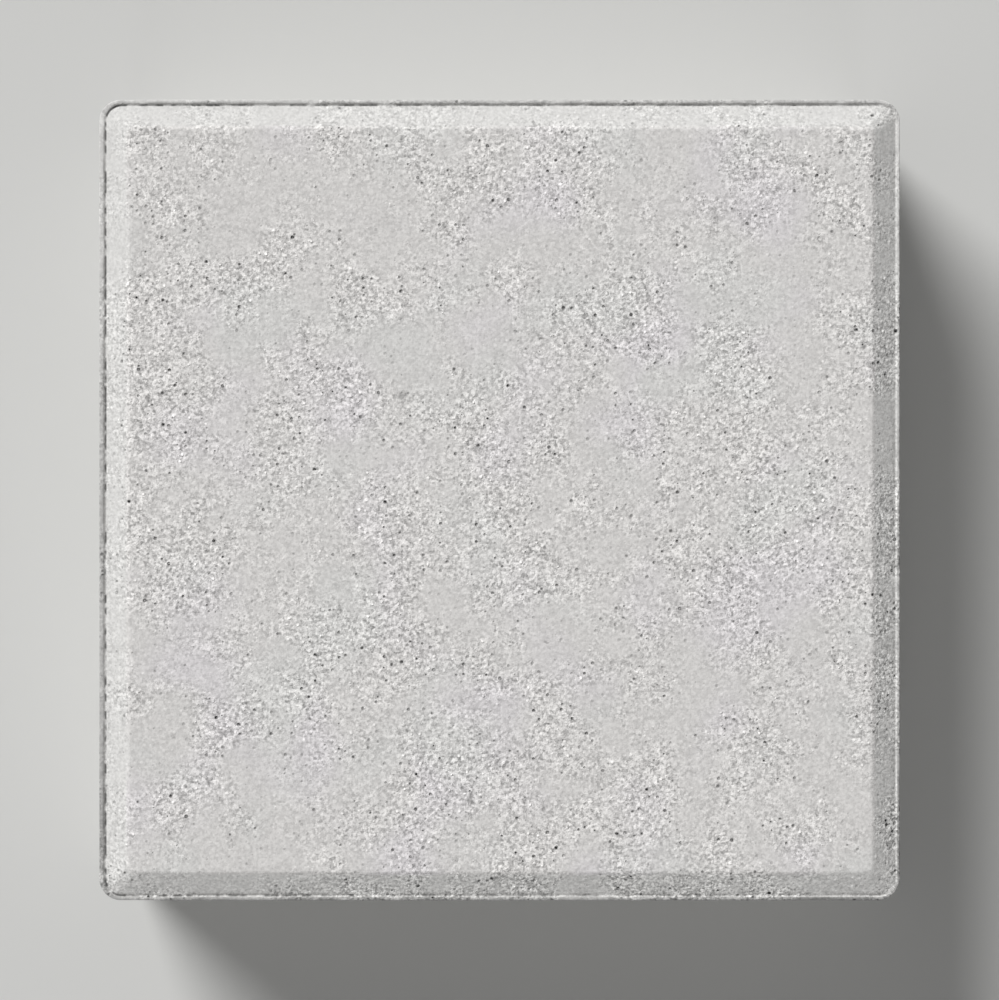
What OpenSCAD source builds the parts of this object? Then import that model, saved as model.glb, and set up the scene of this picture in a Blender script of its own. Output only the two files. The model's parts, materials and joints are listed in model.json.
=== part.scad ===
// Square paving stone of pressed concrete with a chamfered face.
// The origin is at the centre of the underside, and +Z is the side that is walked on.

/* [Laying grid] */
// Distance from the centre of one laid stone to the next
grid_pitch = 200; // [100:10:400]
// Width of the joint between two laid stones
joint_w = 1.8; // [1:0.2:6]

/* [Block] */
// Height from the underside to the walked face
block_h = 60; // [40:5:120]
// Radius of the four upright corners
corner_r = 5.6; // [3:0.2:12]

/* [Walked face] */
// Width of the chamfer, seen from above
chamfer_w = 6; // [2:0.5:12]
// Drop from the walked face to the foot of the chamfer
chamfer_d = 3.3; // [1:0.1:8]

/* [Pressing rim] */
// Width of the rim that the press leaves round the foot of the chamfer
rim_w = 1.6; // [1:0.1:2.4]
// Width of the flat crest of the rim, along the outer edge
rim_crest_w = 0.8; // [0.2:0.1:0.9]
// Height of the crest above the foot of the chamfer
rim_h = 0.5; // [0.2:0.1:1]

/* [Spacer nibs] */
// Width of a nib where it meets the side of the block
nib_root_w = 14; // [10:1:24]
// Width of the flat front of a nib
nib_front_w = 10; // [4:1:14]
// Depth of the top of a nib below the walked face
nib_drop = 15; // [10:1:30]
// Height over which the top of a nib runs out into the side
nib_runout = 4; // [1:1:10]

/* [Hidden] */
$fn = 64;

// The block is smaller than the grid by one joint.
block_w = grid_pitch - joint_w;
half_w = block_w / 2;

// The upright corners turn about axes this far from the middle, along X and along Y.
corner_at = half_w - corner_r;

// The foot of the chamfer runs inside the rim, and its corners keep the rim's width.
foot_z = block_h - chamfer_d;
foot_half_w = half_w - rim_w;
foot_r = corner_r - rim_w;
face_half_w = foot_half_w - chamfer_w;

// Round the corners the chamfer is a cone about the corner's axis. A chamfer wider than foot_r brings
// the cone to a tip at tip_z, below the walked face. A narrower one leaves it a radius of tip_r there.
tip_r = max(0, foot_r - chamfer_w);
tip_z = foot_z + min(chamfer_d, chamfer_d * foot_r / chamfer_w);

// Nibs stand at the quarter points of the grid and fill half the joint. Laid edge to edge, or half a
// stone over, the nibs of two neighbours meet front to front.
nib_at = grid_pitch / 4;
nib_t = joint_w / 2;
nib_h = block_h - nib_drop;
// Depth to which a nib is rooted in the block
nib_root = 1;

// Upright section of the outer edge, from a corner's axis at x = 0 out to the wall at x = corner_r:
// the wall, the rim on top of it, and the chamfer as far as it reaches before the axis.
module edge_section() {
    polygon(concat(
        [[0, 0], [corner_r, 0], [corner_r, foot_z + rim_h]],
        [[corner_r - rim_crest_w, foot_z + rim_h], [foot_r, foot_z]],
        tip_r > 0 ? [[tip_r, tip_z]] : [],
        [[0, tip_z]]
    ));
}

// The edge section swept along each side and a quarter turn round each corner, with the middle that
// it encloses.
module block() {
    translate([-corner_at, -corner_at, 0])
        cube([2 * corner_at, 2 * corner_at, tip_z]);
    for (turn = [0 : 90 : 270])
        rotate(turn) translate([corner_at, corner_at, 0]) {
            rotate([90, 0, 0]) linear_extrude(2 * corner_at) edge_section();
            rotate_extrude(angle = 90) edge_section();
        }
}

// Bar along Y with the slope of the chamfer on its two long sides.
module chamfer_bar() {
    rotate([90, 0, 0])
        linear_extrude(2 * corner_at, center = true)
            polygon([
                [-corner_at, tip_z], [corner_at, tip_z],
                [face_half_w, block_h], [-face_half_w, block_h]
            ]);
}

// Upper part of the chamfer with the walked face. Above the corners' axes the four chamfers meet in
// mitres.
module mitred_crown() {
    intersection() {
        chamfer_bar();
        rotate(90) chamfer_bar();
    }
}

// Upright rib on the side at +X. Its flanks and its top run out into the side.
module spacer_nib() {
    intersection() {
        linear_extrude(nib_h)
            polygon([
                [-nib_root, -nib_root_w / 2], [0, -nib_root_w / 2], [nib_t, -nib_front_w / 2],
                [nib_t, nib_front_w / 2], [0, nib_root_w / 2], [-nib_root, nib_root_w / 2]
            ]);
        rotate([90, 0, 0])
            linear_extrude(nib_root_w, center = true)
                polygon([
                    [-nib_root, 0], [nib_t, 0], [nib_t, nib_h - nib_runout],
                    [0, nib_h], [-nib_root, nib_h]
                ]);
    }
}

// Two nibs on each of the four sides.
module spacer_nibs() {
    for (turn = [0 : 90 : 270], side = [-1, 1])
        rotate(turn) translate([half_w, side * nib_at, 0]) spacer_nib();
}

module paving_stone() {
    color("#cdccca") {
        block();
        if (tip_z < block_h) mitred_crown();
        spacer_nibs();
    }
}

paving_stone();
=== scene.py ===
# Square paving stone of pressed concrete, lying on its underside on a pale floor. Lengths are
# written in millimetres and multiplied by MM where Blender takes metres. +Y is the far side, seen
# from above.
import json
import math

import bmesh
import bpy
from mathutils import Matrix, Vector

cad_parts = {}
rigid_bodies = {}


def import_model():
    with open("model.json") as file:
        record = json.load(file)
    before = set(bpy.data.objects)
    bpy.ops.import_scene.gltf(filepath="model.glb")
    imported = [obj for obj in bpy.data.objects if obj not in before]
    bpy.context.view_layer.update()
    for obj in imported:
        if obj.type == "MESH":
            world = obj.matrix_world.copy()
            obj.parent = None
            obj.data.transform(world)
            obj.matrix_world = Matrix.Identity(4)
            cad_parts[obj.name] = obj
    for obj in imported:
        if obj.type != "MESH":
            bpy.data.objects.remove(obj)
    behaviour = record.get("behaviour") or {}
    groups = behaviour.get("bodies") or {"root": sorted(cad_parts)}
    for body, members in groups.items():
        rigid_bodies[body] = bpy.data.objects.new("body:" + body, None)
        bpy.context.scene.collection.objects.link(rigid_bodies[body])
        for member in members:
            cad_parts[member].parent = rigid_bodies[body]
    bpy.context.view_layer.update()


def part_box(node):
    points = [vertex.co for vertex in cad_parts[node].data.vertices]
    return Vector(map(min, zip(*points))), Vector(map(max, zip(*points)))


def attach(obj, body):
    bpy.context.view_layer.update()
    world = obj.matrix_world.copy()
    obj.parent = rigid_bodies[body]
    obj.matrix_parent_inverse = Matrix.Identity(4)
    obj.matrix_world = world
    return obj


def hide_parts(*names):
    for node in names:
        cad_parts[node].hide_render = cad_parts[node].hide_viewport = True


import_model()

# --- Camera ---------------------------------------------------------------------------------------
# The stone is looked at from straight above, as a laid pavement is, with +Y at the top. The long
# lens hides the four sides under the edge of the walked face.

MM = 0.001
LENS = 120
SENSOR = 36
FRAME_SPAN = 246  # width at the walked face that the frame takes in

low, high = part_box("paving_stone")
centre = [(a + b) / 2 for a, b in zip(low, high)]
top = high[2] / MM
bpy.ops.object.camera_add(
    location=(centre[0], centre[1], (top + FRAME_SPAN * LENS / SENSOR) * MM), rotation=(0, 0, 0)
)
camera = bpy.context.object
camera.name = "camera_above"
camera.data.lens = LENS
camera.data.sensor_width = SENSOR
bpy.context.scene.camera = camera

# --- The pressed block ----------------------------------------------------------------------------
# One block of earth-moist concrete, pressed face up in a steel mould and pushed out while it is
# still green. The mould gives the rounded upright corners and two spacer nibs on each side, and the
# press plate gives the chamfer with the thin rim round its foot.

BLOCK_HALF = 99.1  # from the middle to a side, without the nibs
CORNER_R = 5.6
FACE_Z = top  # the walked face
FOOT_Z = FACE_Z - 3.3  # the chamfer's foot
CORNER_CELLS = 8  # cells round one upright corner
SIDE_CELLS = 212  # cells along one side, half of the two corners among them
FIRST_CELLS = 4  # the cells that the straight part of a side is first cut into

NIB_AT = 50  # the quarter points of a side
NIB_TOP = FACE_Z - 15
NIB_RUNOUT = 4
NIB_STEPS = ((7.3, 0.3), (6.4, 0.3), (5.5, 0.3))  # half width reached by each step, and its height

UNDERSIDE_HALF = 91  # half width of the even cells of the underside
UNDERSIDE_DROP = 5  # the underside is drawn this far down, joined to its ring, and flattened last
RING_INSET = 3.6  # the ring of corners round the underside
RING_GAP = 0.5  # keeps the ring apart from the even cells
FACE_HALF = 87.6  # half width of the even cells of the walked face
PLATE_MIDDLE = (0.3, -0.1)  # where the middle of the press plate came down
HAIR = 0.001  # two places closer than this are the same

bpy.ops.object.select_all(action="DESELECT")
bpy.ops.mesh.primitive_grid_add(
    x_subdivisions=SIDE_CELLS // 2, y_subdivisions=SIDE_CELLS // 2, size=2 * UNDERSIDE_HALF * MM,
    location=(0, 0, 0),
)
stone = bpy.context.object
stone.name = "pressed_stone"
stone.data.name = "pressed_stone"
bpy.ops.object.mode_set(mode="EDIT")
bpy.ops.mesh.select_mode(type="EDGE")
bpy.ops.transform.translate(value=(0, 0, -UNDERSIDE_DROP * MM))


def pick(edge_test=None, vertex_test=None):
    """Selects the edges, or the corners, of the stone that pass a test and nothing else."""
    bpy.ops.mesh.select_all(action="DESELECT")
    if vertex_test:
        bpy.ops.mesh.select_mode(type="VERT")
    mesh = bmesh.from_edit_mesh(stone.data)
    for part in mesh.verts if vertex_test else mesh.edges:
        part.select = (vertex_test or edge_test)(part)
    mesh.select_flush_mode()
    bmesh.update_edit_mesh(stone.data)


def mould_line(inset, radius, z, nibs=False, middle=(0, 0)):
    """Draws one line round the stone, inset from its sides, with the same cells as every other."""
    half = BLOCK_HALF - inset
    bpy.ops.mesh.select_all(action="DESELECT")
    bpy.ops.mesh.primitive_plane_add(
        size=2 * half * MM, location=(middle[0] * MM, middle[1] * MM, z * MM)
    )
    bpy.ops.mesh.bevel(
        affect="VERTICES", offset_type="OFFSET", offset=radius * MM,
        segments=CORNER_CELLS, profile=0.5,
    )
    mesh = bmesh.from_edit_mesh(stone.data)
    plane = [face for face in mesh.faces if face.select][0]
    straight = [edge for edge in plane.edges if edge.calc_length() > half * MM]
    bpy.ops.mesh.select_all(action="DESELECT")
    for edge in straight:
        edge.select = True
    mesh.select_flush_mode()
    bmesh.update_edit_mesh(stone.data)
    # A side is cut in two goes, since one makes at most 100 cuts.
    bpy.ops.mesh.subdivide(number_cuts=FIRST_CELLS - 1)
    bpy.ops.mesh.subdivide(number_cuts=(SIDE_CELLS - CORNER_CELLS) // FIRST_CELLS - 1)
    bpy.ops.mesh.select_linked()
    bpy.ops.mesh.delete(type="ONLY_FACE")
    if nibs:
        push_nibs(half, z)


def push_nibs(half, z):
    """Pushes the line at height z out in steps where the eight nibs stand."""

    def in_step(vertex, axis, way, reach):
        across = vertex.co[axis] * way / MM
        along = abs(abs(vertex.co[1 - axis] / MM) - NIB_AT)
        return abs(vertex.co.z / MM - z) < HAIR and across > half - HAIR and along < reach

    for axis in (0, 1):
        for way in (-1, 1):
            for reach, height in NIB_STEPS:
                pick(vertex_test=lambda vertex: in_step(vertex, axis, way, reach))
                out = [0, 0, 0]
                out[axis] = way * height * MM
                bpy.ops.transform.translate(value=out)
    bpy.ops.mesh.select_mode(type="EDGE")


def open_edges(edge):
    return len(edge.link_faces) < 2


def skin(rows=0, edges=open_edges):
    """Joins the two open lines with a skin of rows + 1 rows of cells."""
    pick(edges)
    bpy.ops.mesh.bridge_edge_loops(number_cuts=rows, interpolation="LINEAR")


def reach_of(vertex):
    return max(abs(vertex.co.x), abs(vertex.co.y)) / MM


def in_ring(vertex):
    return reach_of(vertex) < BLOCK_HALF - RING_INSET + HAIR


# The underside has cells twice as wide, so its outer ring loses every second corner.
mould_line(RING_INSET, 2.9, 0)
mould_line(1.1, 4.5, 0, nibs=True)
skin(0, lambda edge: not edge.link_faces)
mesh = bmesh.from_edit_mesh(stone.data)
ring = sorted(
    (v for v in mesh.verts if in_ring(v) and reach_of(v) > UNDERSIDE_HALF + RING_GAP),
    key=lambda v: math.atan2(v.co.y, v.co.x),
)
every_second = {v.index for v in ring[::2]}
pick(vertex_test=lambda v: v.index in every_second)
bpy.ops.mesh.dissolve_verts()
bpy.ops.mesh.select_mode(type="EDGE")
skin(1, lambda edge: open_edges(edge) and all(in_ring(v) for v in edge.verts))
pick(vertex_test=lambda v: v.co.z < 0)
bpy.ops.transform.resize(value=(1, 1, 0), center_override=(0, 0, 0))
bpy.ops.mesh.select_mode(type="EDGE")

# From the lower arris up the side and on to the rim. Each line has its inset, its corner radius,
# its height, whether it takes in the nibs, and the rows cut below it.
for inset, radius, z, nibs, rows in (
    (0.6, 5.0, 0.05, True, 0),
    (0.2, 5.4, 0.3, True, 0),
    (0, 5.6, 1, True, 0),
    (0, 5.6, NIB_TOP - NIB_RUNOUT, True, 14),
    (0, 5.6, NIB_TOP, False, 1),
    (0, 5.6, FOOT_Z - 0.15, False, 4),
    (0.07, 5.53, FOOT_Z + 0.2, False, 0),
    (0.22, 5.38, FOOT_Z + 0.42, False, 0),
    (0.45, 5.15, FOOT_Z + 0.5, False, 0),
):
    mould_line(inset, radius, z, nibs)
    skin(rows)

# What the press plate forms: the rim's inner side, its groove, the chamfer and the walked face. The
# plate sat a little off the mould's middle, so the rim is wider at the -X side than at the +X side.
# Each line has its inset, its corner radius, its height, and the rows cut below it.
for inset, radius, z, rows in (
    (0.85, 4.75, FOOT_Z + 0.5, 0),
    (1.08, 4.52, FOOT_Z + 0.38, 0),
    (1.32, 4.28, FOOT_Z - 0.02, 0),
    (1.52, 4.08, FOOT_Z - 0.2, 0),
    (1.75, 3.85, FOOT_Z, 0),
    (2, 3.65, FOOT_Z + 0.22, 0),
    (7.1, 1.8, FACE_Z - 0.275, 5),
    (7.4, 1.75, FACE_Z - 0.125, 0),
    (7.65, 1.7, FACE_Z - 0.035, 0),
    (7.95, 1.75, FACE_Z, 0),
):
    mould_line(inset, radius, z, middle=PLATE_MIDDLE)
    skin(rows)
bpy.ops.mesh.select_all(action="DESELECT")
bpy.ops.mesh.primitive_grid_add(
    x_subdivisions=SIDE_CELLS, y_subdivisions=SIDE_CELLS, size=2 * FACE_HALF * MM,
    location=(PLATE_MIDDLE[0] * MM, PLATE_MIDDLE[1] * MM, FACE_Z * MM),
)
skin(4)
bpy.ops.mesh.select_all(action="SELECT")
bpy.ops.mesh.remove_doubles(threshold=HAIR * MM)
bpy.ops.mesh.normals_make_consistent(inside=False)
bpy.ops.object.mode_set(mode="OBJECT")
bpy.ops.object.shade_smooth()

# The green concrete keeps the texture of its sand: a slight swell of the press plate, a grain all
# over, small pits where fines are missing, a rim that crumbles in places, and the marks of the
# mould on the four sides, drawn straight up as the stone is pushed out. Each has its width and its
# depth.
SWELL, SWELL_DEPTH = 45, 0.14
GRAIN, GRAIN_DEPTH = 2.3, 0.12  # clumps of sand, since a single grain is finer than the mesh
ROUGH_GRAIN_DEPTH = 0.22  # added on the sides and the underside
PIT_CELL, PIT_SHARE, PIT_RADIUS, PIT_DEPTH = 9, 0.45, 1.3, 0.4  # one in this share of the cells
CAVITY_CELL, CAVITY_SHARE, CAVITY_RADIUS, CAVITY_DEPTH = 9, 0.7, 2.6, 0.7  # sides and underside
DRAG_MARK, DRAG_DEPTH = 1.3, 0.2
DRAG_STRETCH = 0.05  # how fast the marks change going up, against going along
RIM_BREAK, RIM_BREAK_DEPTH = 4.5, 0.34
GROOVE_FILL, GROOVE_FILL_HEIGHT = 3.4, 0.2
GROOVE = 1.5  # inset of the middle of the groove between the rim and the chamfer

# The nodes and settings that come up often. A range turns what lies between its inputs 1 and 2 into
# what lies between its inputs 3 and 4, which are 0 and 1 where nothing is said.
MATH = "ShaderNodeMath"
VECTOR = "ShaderNodeVectorMath"
NOISE = "ShaderNodeTexNoise"
CELLS = "ShaderNodeTexVoronoi"
RANGE = "ShaderNodeMapRange"
SPLIT = "ShaderNodeSeparateXYZ"
TIMES = {"operation": "MULTIPLY"}
TIMES_PLUS = {"operation": "MULTIPLY_ADD"}
SMOOTHLY = {"interpolation_type": "SMOOTHSTEP"}

SMALLEST_SPOT = 0.4  # its radius, against the largest one's
SPOT_CORE = 0.35  # the part of its radius over which a spot is fully there
WANDER, WANDER_REACH = 0.9, 1.3  # turns of a pit's edge to a radius, and their reach in radii


def step(tree, kind, inputs=None, **settings):
    """Adds one node with its settings. An input takes a value, an output or a node, which stands
    for its first output."""
    node = tree.nodes.new(kind)
    for name, value in settings.items():
        setattr(node, name, value)
    for name, value in (inputs or {}).items():
        if isinstance(value, bpy.types.Node):
            value = value.outputs[0]
        if isinstance(value, bpy.types.NodeSocket):
            tree.links.new(value, node.inputs[name])
        else:
            node.inputs[name].default_value = value
    return node


def spots(tree, place, cell, radius):
    """Spots, one to a cell: how deep inside its spot a place lies, 0 to 1, and the spot's lot."""
    spread = step(tree, CELLS, {"Vector": place, "Scale": 1 / cell})
    lots = step(tree, SPLIT, {0: spread.outputs["Color"]})
    size = radius / cell
    sizes = {0: lots.outputs[1], 1: (1 - SMALLEST_SPOT) * size, 2: SMALLEST_SPOT * size}
    reach = step(tree, MATH, sizes, **TIMES_PLUS)
    closeness = step(tree, MATH, {0: spread.outputs["Distance"], 1: reach}, operation="DIVIDE")
    return step(tree, RANGE, {0: closeness, 1: 1, 2: SPOT_CORE}, **SMOOTHLY), lots.outputs[0]


def pits(tree, place, cell, share, radius):
    """Depth, from 0 to 1, of uneven pits in the share of the cells that have one."""
    wander = step(tree, NOISE, {"Vector": place, "Scale": WANDER / radius, "Detail": 1})
    reach = [WANDER_REACH * radius] * 3
    bent = step(tree, VECTOR, {0: wander.outputs["Color"], 1: reach, 2: place}, **TIMES_PLUS)
    spot, lot = spots(tree, bent, cell, radius)
    chosen = step(tree, MATH, {0: lot, 1: share}, operation="LESS_THAN")
    return step(tree, MATH, {0: spot, 1: chosen}, **TIMES)


def inset_from_side(tree, place):
    """Distance in from the sides, as the plate sat, and in the corners from their rounding."""
    axis = BLOCK_HALF - CORNER_R
    centred = step(tree, VECTOR, {0: place, 1: (*PLATE_MIDDLE, 0)}, operation="SUBTRACT")
    folded = step(tree, VECTOR, {0: centred}, operation="ABSOLUTE")
    beyond = step(tree, VECTOR, {0: folded, 1: (axis, axis, FACE_Z)}, operation="SUBTRACT")
    kept = step(tree, VECTOR, {0: beyond, 1: (0, 0, 0)}, operation="MAXIMUM")
    reach = step(tree, VECTOR, {0: kept}, operation="LENGTH").outputs["Value"]
    return step(tree, MATH, {0: CORNER_R, 1: reach}, operation="SUBTRACT")


relief = bpy.data.node_groups.new("pressed_relief", "GeometryNodeTree")
relief.interface.new_socket("Geometry", in_out="INPUT", socket_type="NodeSocketGeometry")
relief.interface.new_socket("Geometry", in_out="OUTPUT", socket_type="NodeSocketGeometry")
entry = step(relief, "NodeGroupInput")
metres = step(relief, "GeometryNodeInputPosition")
place = step(relief, VECTOR, {0: metres, "Scale": 1 / MM}, operation="SCALE")
normal = step(relief, "GeometryNodeInputNormal")

# Where each mark is: by how much the surface leans, its height, and how far in it is from the side.
height = step(relief, SPLIT, {0: place}).outputs[2]
lean = step(relief, SPLIT, {0: normal}).outputs[2]
steep = step(relief, MATH, {0: lean}, operation="ABSOLUTE")
inset = inset_from_side(relief, place)
on_side = step(relief, RANGE, {0: steep, 1: 0.6, 2: 0.15}, **SMOOTHLY)
underneath = step(relief, RANGE, {0: lean, 1: -0.4, 2: -0.95}, **SMOOTHLY)
rough_sides = step(relief, MATH, {0: on_side, 1: underneath})
at_rim = step(relief, RANGE, {0: height, 1: FOOT_Z - 0.8, 2: FOOT_Z - 0.2}, **SMOOTHLY)
crest = step(relief, RANGE, {0: inset, 1: GROOVE - 0.15, 2: GROOVE - 0.6}, **SMOOTHLY)
crest = step(relief, MATH, {0: crest, 1: at_rim}, **TIMES)
groove = step(relief, RANGE, {0: inset, 1: GROOVE - 0.55, 2: GROOVE - 0.15, 4: at_rim}, **SMOOTHLY)
groove = step(relief, RANGE, {0: inset, 1: GROOVE + 0.6, 2: GROOVE + 0.1, 4: groove}, **SMOOTHLY)

# How deep the marks go, in from the surface.
swell = step(relief, NOISE, {"Vector": place, "Scale": 1 / SWELL, "Detail": 1})
depth = step(relief, MATH, {0: swell, 1: SWELL_DEPTH}, **TIMES)
grain = step(relief, NOISE, {"Vector": place, "Scale": 1 / GRAIN, "Detail": 2, "Roughness": 0.6})
depths = {0: rough_sides, 1: ROUGH_GRAIN_DEPTH, 2: GRAIN_DEPTH}
grain_depth = step(relief, MATH, depths, **TIMES_PLUS)
depth = step(relief, MATH, {0: grain, 1: grain_depth, 2: depth}, **TIMES_PLUS)
pit = pits(relief, place, PIT_CELL, PIT_SHARE, PIT_RADIUS)
depth = step(relief, MATH, {0: pit, 1: PIT_DEPTH, 2: depth}, **TIMES_PLUS)
cavity = pits(relief, place, CAVITY_CELL, CAVITY_SHARE, CAVITY_RADIUS)
cavity_depth = step(relief, MATH, {0: rough_sides, 1: CAVITY_DEPTH}, **TIMES)
depth = step(relief, MATH, {0: cavity, 1: cavity_depth, 2: depth}, **TIMES_PLUS)
drawn = step(relief, VECTOR, {0: place, 1: (1, 1, DRAG_STRETCH)}, **TIMES)
drag = step(relief, NOISE, {"Vector": drawn, "Scale": 1 / DRAG_MARK, "Detail": 2})
drag_depth = step(relief, MATH, {0: on_side, 1: DRAG_DEPTH}, **TIMES)
depth = step(relief, MATH, {0: drag, 1: drag_depth, 2: depth}, **TIMES_PLUS)
inward = step(relief, MATH, {0: depth, 1: -MM}, **TIMES)

# The rim's crest is broken down in places, and its groove is filled in places.
breaks = {"Vector": place, "Scale": 1 / RIM_BREAK, "Detail": 3, "Roughness": 0.7}
broken = step(relief, NOISE, breaks)
broken = step(relief, RANGE, {0: broken, 1: 0.45, 2: 0.7, 4: -RIM_BREAK_DEPTH * MM}, **SMOOTHLY)
broken = step(relief, MATH, {0: broken, 1: crest}, **TIMES)
filled = step(relief, NOISE, {"Vector": place, "Scale": 1 / GROOVE_FILL, "Detail": 1})
filled = step(relief, RANGE, {0: filled, 1: 0.48, 2: 0.62, 4: GROOVE_FILL_HEIGHT * MM}, **SMOOTHLY)
lift = step(relief, MATH, {0: filled, 1: groove, 2: broken}, **TIMES_PLUS)
upward = step(relief, "ShaderNodeCombineXYZ", {2: lift})
inward = step(relief, VECTOR, {0: normal, "Scale": inward}, operation="SCALE")
offset = step(relief, VECTOR, {0: inward, 1: upward})
moved = step(relief, "GeometryNodeSetPosition", {"Geometry": entry, "Offset": offset})
step(relief, "NodeGroupOutput", {0: moved})

modifier = stone.modifiers.new("pressed_relief", "NODES")
modifier.node_group = relief
bpy.ops.object.modifier_apply(modifier=modifier.name)

# Pressed concrete with a fine light sand, its skin left as the plate gave it: dull and matt, a warm
# light grey with faint clouds, salt and pepper with pale quartz and dark grains, closed and smooth
# in some patches and open and sandy in others. Shade is painted into the groove round the chamfer's
# foot, onto the rim's crest and into the pits, and the speckle is painted stronger on the chamfer's
# sides away from the key lamp.
COOL_CONCRETE = "#d0cdce"
WARM_CONCRETE = "#cfcdcb"
LIME_CONCRETE = "#cecdcb"
SIDE_CONCRETE = "#cdccca"
ROUGHNESS, SPECULAR = 0.92, 0.3
CLOUD = 26
PATCH = 17
CLOSED_PATCH = 0.3  # the speckle left where the skin is closed
CHAMFER_SHADE_SPECKLE = (0.0014, -0.0031, 0)  # the speckle painted stronger for each millimetre of X and Y, away from the key lamp

# Widths, and then how much darker and lighter they make the skin. The sand is about 0.3 mm, too
# fine to show, so it and its single grains are drawn twice as coarse.
SAND, SAND_TONE = 0.7, 0.31
GRIT, GRIT_TONE = 0.65, 0.31
SPECK_CELL, SPECK_RADIUS, DARK_SPECK, PALE_SPECK = 1.9, 0.6, -0.7, 0.5
SPECK_LOTS = (0.47, 0.57)  # below the first a speck is a dark one, and above the second a pale one
SKIN_LIFT = 0.037  # keeps open patches as light as closed ones, in spite of their dark specks
SPECK_HOLE, SPECK_RISE, BUMP_DEPTH = -1.2, 0.6, 0.3  # of dark and pale specks, and of the bump
PIT_SHADE = 0.66  # painted shade and dust in a pit: what is left of the colour there

# Painted shade in the groove: the width of its patches, the share of the colour that it takes on
# average, and how much less it takes for each millimetre of X and Y. Then the same two for the
# painted shade on the crest, most of it at the sides away from the key lamp, and how unevenly it
# lies along the rim.
GROOVE_SHADE_PATCH, GROOVE_SHADE_SHARE, GROOVE_SHADE_LEAN = 2.2, 0.4, (0.0032, 0, 0)
CREST_SHADE_SHARE, CREST_SHADE_LEAN = 0.28, (-0.0008, 0.0023, 0)
LEAST_CREST_SHADE, MOST_CREST_SHADE = 0.8, 1.15


def hue(code):
    """Linear colour of an sRGB hex value."""
    parts = [int(code[i : i + 2], 16) / 255 for i in (1, 3, 5)]
    return [p / 12.92 if p <= 0.04045 else ((p + 0.055) / 1.055) ** 2.4 for p in parts] + [1]


concrete = bpy.data.materials.new("pressed_concrete")
concrete.use_nodes = True
nodes = concrete.node_tree
nodes.nodes.clear()
metres = step(nodes, "ShaderNodeTexCoord").outputs["Object"]
place = step(nodes, VECTOR, {0: metres, "Scale": 1 / MM}, operation="SCALE")
height = step(nodes, SPLIT, {0: place}).outputs[2]
inset = inset_from_side(nodes, place)

# Faint clouds of a cool, a warm and a limy grey.
clouds = step(nodes, NOISE, {"Vector": place, "Scale": 1 / CLOUD, "Detail": 1}).outputs["Color"]
clouds = step(nodes, SPLIT, {0: clouds}).outputs
share = step(nodes, RANGE, {0: clouds[0], 1: 0.26, 2: 0.54}, **SMOOTHLY)
tints = {"Factor": share, 6: hue(COOL_CONCRETE), 7: hue(WARM_CONCRETE)}
tint = step(nodes, "ShaderNodeMix", tints, data_type="RGBA").outputs[2]
share = step(nodes, RANGE, {0: clouds[1], 1: 0.52, 2: 0.7}, **SMOOTHLY)
tints = {"Factor": share, 6: tint, 7: hue(LIME_CONCRETE)}
tint = step(nodes, "ShaderNodeMix", tints, data_type="RGBA").outputs[2]

# Below the walked face the skin is a shade cooler.
below_face = step(nodes, RANGE, {0: height, 1: FACE_Z - 0.35, 2: FACE_Z - 0.7}, **SMOOTHLY)
tints = {"Factor": below_face, 6: tint, 7: hue(SIDE_CONCRETE)}
tint = step(nodes, "ShaderNodeMix", tints, data_type="RGBA").outputs[2]

# How strong the speckle is: open from patch to patch, and on the chamfer painted stronger towards
# the near side and +X, away from the key lamp, as grazing light on the grain would show it. The
# bump takes the same strength.
top_edge = step(nodes, RANGE, {0: height, 1: FOOT_Z - 2.5, 2: FOOT_Z + 0.3}, **SMOOTHLY)
on_chamfer = step(nodes, MATH, {0: top_edge, 1: below_face}, **TIMES)
patch = step(nodes, NOISE, {"Vector": place, "Scale": 1 / PATCH, "Detail": 3, "Roughness": 0.6})
patch = step(nodes, RANGE, {0: patch, 1: 0.38, 2: 0.62, 3: CLOSED_PATCH}, **SMOOTHLY)
across = step(nodes, VECTOR, {0: place, 1: CHAMFER_SHADE_SPECKLE}, operation="DOT_PRODUCT")
across = across.outputs["Value"]
grazing_speckle = step(nodes, MATH, {0: across, 1: on_chamfer, 2: 1}, **TIMES_PLUS)
speckle_strength = step(nodes, MATH, {0: patch, 1: grazing_speckle}, **TIMES)

# Sand, single grains and specks make the skin darker and lighter by these shares of its colour.
sand = step(nodes, NOISE, {"Vector": place, "Scale": 1 / SAND, "Detail": 1, "Roughness": 0.6})
sand_tone = step(nodes, RANGE, {0: sand, 1: 0.3, 2: 0.7, 3: -SAND_TONE, 4: SAND_TONE})
grit = step(nodes, CELLS, {"Vector": place, "Scale": 1 / GRIT}).outputs["Color"]
grit = step(nodes, SPLIT, {0: grit})
grit_tone = step(nodes, MATH, {0: grit, 1: 2 * GRIT_TONE, 2: SKIN_LIFT - GRIT_TONE}, **TIMES_PLUS)
skin_tone = step(nodes, MATH, {0: sand_tone, 1: grit_tone})
speck, lot = spots(nodes, place, SPECK_CELL, SPECK_RADIUS)
dark, pale = SPECK_LOTS
specks = {0: lot, 1: dark, 2: pale, 3: DARK_SPECK, 4: PALE_SPECK}
speck_tone = step(nodes, RANGE, specks, **SMOOTHLY)
skin_tone = step(nodes, MATH, {0: speck, 1: speck_tone, 2: skin_tone}, **TIMES_PLUS)
tone = step(nodes, MATH, {0: skin_tone, 1: speckle_strength, 2: 1}, **TIMES_PLUS)
# The pits are painted darker: painted shade in the hollows, with some dust.
pit = pits(nodes, place, PIT_CELL, PIT_SHARE, PIT_RADIUS)
pit_shade_tone = step(nodes, RANGE, {0: pit, 3: 1, 4: PIT_SHADE}, **SMOOTHLY)
tone = step(nodes, MATH, {0: tone, 1: pit_shade_tone}, **TIMES)
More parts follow.
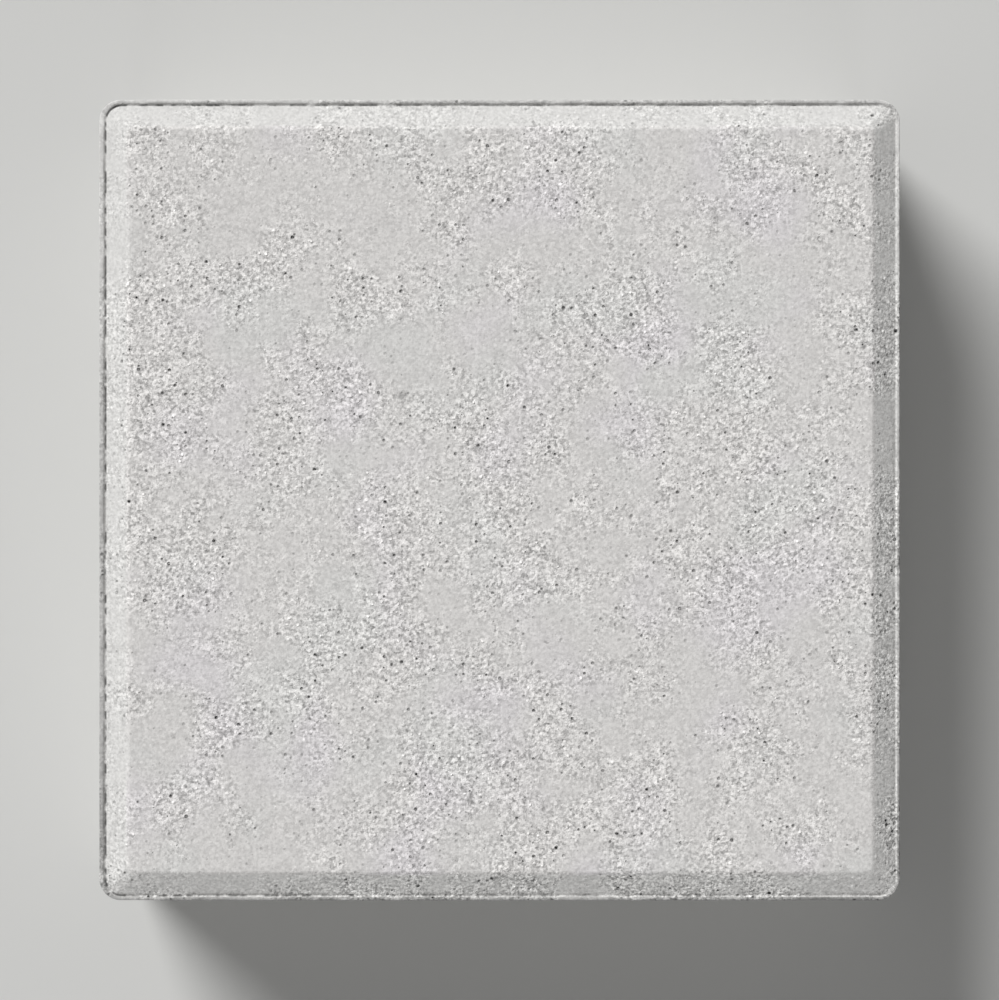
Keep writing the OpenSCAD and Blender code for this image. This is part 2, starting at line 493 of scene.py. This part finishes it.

# Painted shade in the groove, most of it at the -X side, where the crest casts its shadow into it,
# and painted shade on the crest, most of it at the -Y and +X sides, away from the key lamp.
in_groove = step(nodes, RANGE, {0: inset, 1: GROOVE - 0.35, 2: GROOVE - 0.15}, **SMOOTHLY)
inner_edge = {0: inset, 1: GROOVE + 0.35, 2: GROOVE + 0.15, 4: in_groove}
in_groove = step(nodes, RANGE, inner_edge, **SMOOTHLY)
# Painted shade, patchy along the groove and strongest at the -X side.
groove_shade = step(nodes, NOISE, {"Vector": place, "Scale": 1 / GROOVE_SHADE_PATCH, "Detail": 1})
groove_shade = step(nodes, RANGE, {0: groove_shade, 1: 0.4, 2: 0.6, 4: in_groove}, **SMOOTHLY)
across = step(nodes, VECTOR, {0: place, 1: GROOVE_SHADE_LEAN}, operation="DOT_PRODUCT").outputs["Value"]
groove_shade_amount = step(nodes, MATH, {0: across, 1: GROOVE_SHADE_SHARE}, operation="SUBTRACT")
groove_shade_tone = step(nodes, MATH, {0: groove_shade, 1: groove_shade_amount, 2: 1}, **TIMES_PLUS)
tone = step(nodes, MATH, {0: tone, 1: groove_shade_tone}, **TIMES)
on_crest = step(nodes, RANGE, {0: inset, 1: GROOVE - 0.1, 2: GROOVE - 0.5, 4: top_edge}, **SMOOTHLY)
# Painted shade on the crest, darker at the -Y and +X sides away from the key lamp, and uneven along
# the rim.
across = step(nodes, VECTOR, {0: place, 1: CREST_SHADE_LEAN}, operation="DOT_PRODUCT").outputs["Value"]
crest_shade = step(nodes, MATH, {0: across, 1: CREST_SHADE_SHARE}, operation="SUBTRACT")
crest_shade_spread = {0: clouds[2], 1: 0.42, 2: 0.6, 3: LEAST_CREST_SHADE, 4: MOST_CREST_SHADE}
uneven = step(nodes, RANGE, crest_shade_spread, **SMOOTHLY)
crest_shade = step(nodes, MATH, {0: crest_shade, 1: uneven}, **TIMES)
crest_shade_tone = step(nodes, MATH, {0: on_crest, 1: crest_shade, 2: 1}, **TIMES_PLUS)
tone = step(nodes, MATH, {0: tone, 1: crest_shade_tone}, **TIMES)
colour = step(nodes, VECTOR, {0: tint, "Scale": tone}, operation="SCALE")

# The bump gives the light what is finer than the mesh: sand and pale specks that stand up, and dark
# specks that are small holes.
rise = step(nodes, RANGE, {0: lot, 1: dark, 2: pale, 3: SPECK_HOLE, 4: SPECK_RISE}, **SMOOTHLY)
raised = step(nodes, MATH, {0: speck, 1: rise, 2: sand}, **TIMES_PLUS)
grains = {"Height": raised, "Strength": speckle_strength, "Distance": BUMP_DEPTH * MM}
bump = step(nodes, "ShaderNodeBump", grains)
matt = {"Roughness": ROUGHNESS, "Specular IOR Level": SPECULAR}
shader = step(nodes, "ShaderNodeBsdfPrincipled", {"Base Color": colour, "Normal": bump, **matt})
step(nodes, "ShaderNodeOutputMaterial", {"Surface": shader})
stone.data.materials.clear()
stone.data.materials.append(concrete)

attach(stone, "root")
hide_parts("paving_stone")

# --- Floor and light ------------------------------------------------------------------------------
# A plain floor painted a matt pale grey, a large soft lamp at the far left that draws the chamfers
# and the grain, a weak low one at the near side, and an even sky. Together they light the walked
# face so that its colour shows about as written.

FLOOR_SIZE = 12  # metres
FLOOR_PAINT = "#c9c9c7"
FLOOR_ROUGHNESS = 0.9
LAMP_DISTANCE = 24  # metres, so that the face is lit evenly from edge to edge
LAMP_SIZE = 12  # metres
KEY_SHARE, KEY_HEIGHT, KEY_SIDE = 0.72, 37, 35  # share of the walked face's light, then degrees
FILL_SHARE, FILL_HEIGHT, FILL_SIDE = 0.07, 13, 182
SKY_SHARE = 1 - KEY_SHARE - FILL_SHARE
SKY_SEEN = 0.92  # how pale the sky looks straight on, where 1 is white

bpy.ops.mesh.primitive_plane_add(size=FLOOR_SIZE, location=(0, 0, low[2]))
floor = bpy.context.object
floor.name = "floor"
paint = bpy.data.materials.new("matt_floor_paint")
paint.use_nodes = True
painted = paint.node_tree.nodes["Principled BSDF"]
painted.inputs["Base Color"].default_value = hue(FLOOR_PAINT)
painted.inputs["Roughness"].default_value = FLOOR_ROUGHNESS
floor.data.materials.append(paint)


def soft_lamp(name, share, height, side):
    """Hangs a round lamp that gives the walked face this share of its light. Its height and its
    side are in degrees, the side from +Y towards -X."""
    height, side = math.radians(height), math.radians(side)
    towards = Vector(
        (-math.sin(side) * math.cos(height), math.cos(side) * math.cos(height), math.sin(height))
    )
    turned = towards.to_track_quat("Z", "Y").to_euler()
    bpy.ops.object.light_add(type="AREA", location=towards * LAMP_DISTANCE, rotation=turned)
    lamp = bpy.context.object
    lamp.name = name
    lamp.data.shape = "DISK"
    lamp.data.size = LAMP_SIZE
    # A lamp lights what faces it with power / (pi * distance**2), a level face with the sine of its
    # height times that, and a face lit with pi in all shows its colour as written.
    lamp.data.energy = share * math.pi**2 * LAMP_DISTANCE**2 / math.sin(height)


soft_lamp("key_lamp", KEY_SHARE, KEY_HEIGHT, KEY_SIDE)
soft_lamp("fill_lamp", FILL_SHARE, FILL_HEIGHT, FILL_SIDE)

world = bpy.data.worlds.new("pale_room")
bpy.context.scene.world = world
world.use_nodes = True
sky = world.node_tree
sky.nodes.clear()
seen = step(sky, "ShaderNodeLightPath").outputs["Is Camera Ray"]
strength = step(sky, MATH, {0: seen, 1: SKY_SEEN - SKY_SHARE, 2: SKY_SHARE}, **TIMES_PLUS)
even = step(sky, "ShaderNodeBackground", {"Color": (1, 1, 1, 1), "Strength": strength})
step(sky, "ShaderNodeOutputWorld", {"Surface": even})

bpy.context.scene.view_settings.view_transform = "Standard"
